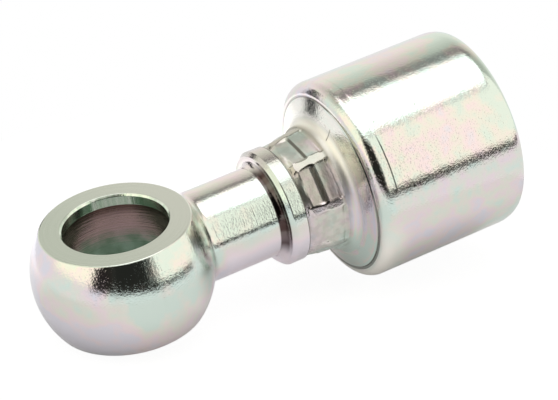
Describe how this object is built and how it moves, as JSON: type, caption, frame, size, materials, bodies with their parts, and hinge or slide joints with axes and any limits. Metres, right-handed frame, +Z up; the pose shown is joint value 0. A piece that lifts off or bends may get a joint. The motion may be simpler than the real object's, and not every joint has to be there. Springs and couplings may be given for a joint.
{
  "type": "banjo crimp hose fitting",
  "caption": "Steel banjo hose fitting: a ring eye with flat faces on a short stem and collar, and a wide crimp ferrule staked on behind it, open at the back for the hose.",
  "frame": {"origin": "centre of the eye's bore, midway between its two flat faces", "axes": "+X along the fitting's length towards the hose end, level with the table; +Z up; the stem's own axis rises 9.3 degrees from +X towards +Z, as the fitting lies at rest"},
  "size_m": [0.078, 0.0322, 0.0357],
  "materials": {
    "zinc_steel_nipple": "bright zinc plating with clear passivation, fine turning marks",
    "zinc_steel_ferrule": "bright zinc plating with clear passivation, smooth turned surface"
  },
  "bodies": {
    "root": {"banjo_nipple": "zinc_steel_nipple", "crimp_ferrule": "zinc_steel_ferrule"}
  },
  "joints": []
}
